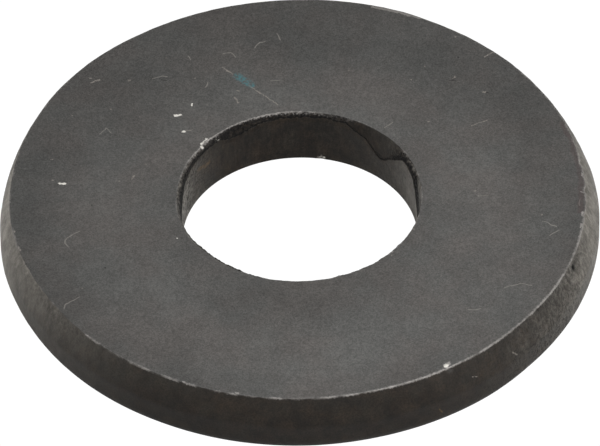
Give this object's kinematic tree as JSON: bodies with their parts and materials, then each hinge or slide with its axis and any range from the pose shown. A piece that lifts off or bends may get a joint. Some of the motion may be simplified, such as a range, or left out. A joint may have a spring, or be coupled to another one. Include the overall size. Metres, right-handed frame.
{
  "type": "flat washer",
  "caption": "Flat steel ring with a round central hole, which spreads the load of a bolt head or nut.",
  "frame": {"origin": "centre of the bottom face, on the bore's axis, with the washer lying on z = 0", "axes": "+Z along the bore, from the face with rounded edges to the face with broken edges; X and Y lie in the bottom face and are free to turn, because the ring is round"},
  "size_m": [0.0444, 0.0444, 0.0046],
  "materials": {
    "dark_steel": "matte"
  },
  "bodies": {
    "root": {"washer": "dark_steel"}
  },
  "joints": []
}
